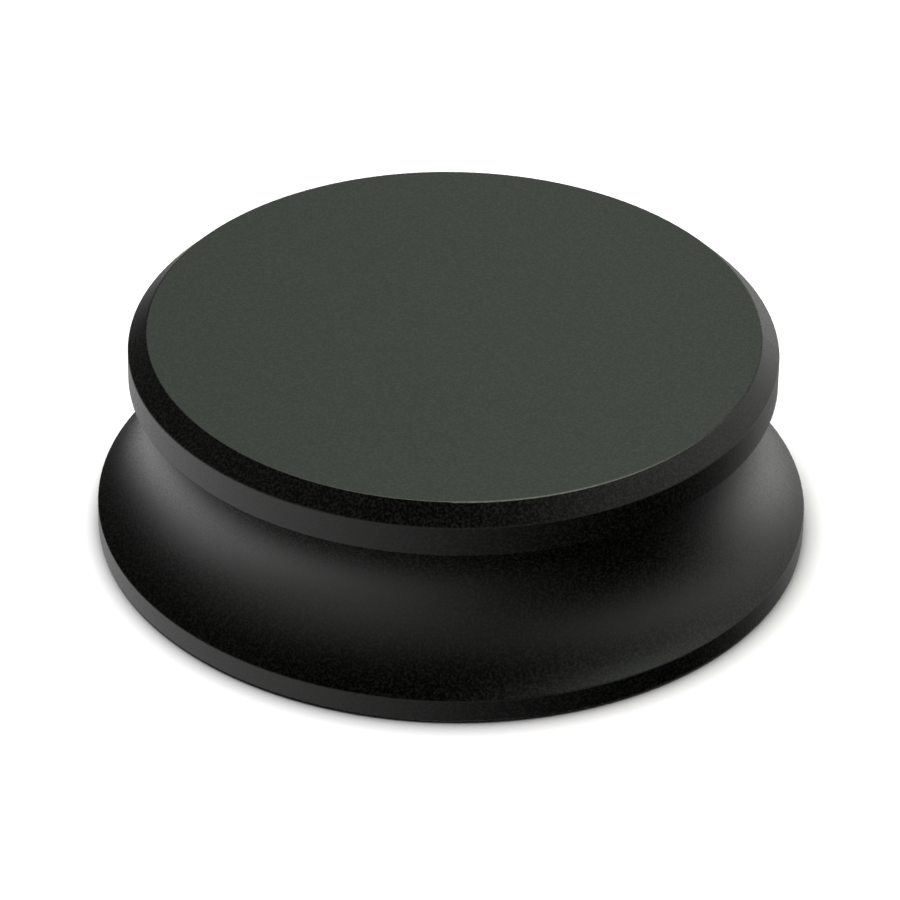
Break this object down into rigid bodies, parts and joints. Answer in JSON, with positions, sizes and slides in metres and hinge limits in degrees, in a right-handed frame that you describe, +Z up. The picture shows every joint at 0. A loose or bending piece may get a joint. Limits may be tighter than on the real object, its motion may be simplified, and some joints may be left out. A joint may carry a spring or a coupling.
{
  "type": "turntable display stand",
  "caption": "Round display turntable: a chamfered disc platter spins freely on a coved, rimmed base with an anti-slip ring underneath.",
  "frame": {"origin": "centre of the stand's footprint on the table, on the turning axis", "axes": "+Z up along the turning axis, X and Y in the table's plane"},
  "size_m": [0.1, 0.1, 0.0312],
  "materials": {
    "platter_anodised": "bead-blasted black anodised aluminium, satin",
    "base_anodised": "bead-blasted black anodised aluminium, satin",
    "cover_anodised": "turned black anodised aluminium, satin",
    "spindle_steel": "turned steel",
    "bearing_steel": "ground bearing steel",
    "ball_steel": "polished bearing steel",
    "cage_brass": "machined brass",
    "cage_steel": "stamped steel",
    "spring_steel": "hardened spring steel",
    "black_oxide_screw": "black oxide steel, satin",
    "silicone_foot": "matt silicone rubber"
  },
  "bodies": {
    "base": {"base_body": "base_anodised", "thrust_housing_washer": "bearing_steel", "radial_outer_ring": "bearing_steel", "radial_shield_upper": "bearing_steel", "radial_shield_lower": "bearing_steel", "preload_spring": "spring_steel", "bottom_cover": "cover_anodised", "cover_screws": "black_oxide_screw", "foot_ring": "silicone_foot"},
    "platter": {"platter_disc": "platter_anodised", "spindle": "spindle_steel", "flange_screws": "black_oxide_screw", "thrust_shaft_washer": "bearing_steel", "radial_inner_ring": "bearing_steel", "spindle_end_cap": "spindle_steel", "end_cap_screw": "black_oxide_screw"},
    "thrust_ball_set": {"thrust_cage": "cage_brass", "thrust_balls": "ball_steel"},
    "radial_ball_set": {"radial_cage_upper": "cage_steel", "radial_cage_lower": "cage_steel", "radial_cage_rivets": "cage_steel", "radial_balls": "ball_steel"}
  },
  "joints": [
    {"name": "platter_spin", "type": "hinge", "parent": "base", "child": "platter", "pos_m": [0, 0, 0.0185], "axis": [0, 0, 1], "continuous": true},
    {"name": "thrust_ball_set_spin", "type": "hinge", "parent": "base", "child": "thrust_ball_set", "pos_m": [0, 0, 0.0185], "axis": [0, 0, 1], "continuous": true},
    {"name": "radial_ball_set_spin", "type": "hinge", "parent": "base", "child": "radial_ball_set", "pos_m": [0, 0, 0.0085], "axis": [0, 0, 1], "continuous": true}
  ],
  "couplings": [
    {"joint": "thrust_ball_set_spin", "follows": "platter_spin", "ratio": 0.5},
    {"joint": "radial_ball_set_spin", "follows": "platter_spin", "ratio": 0.3685}
  ]
}
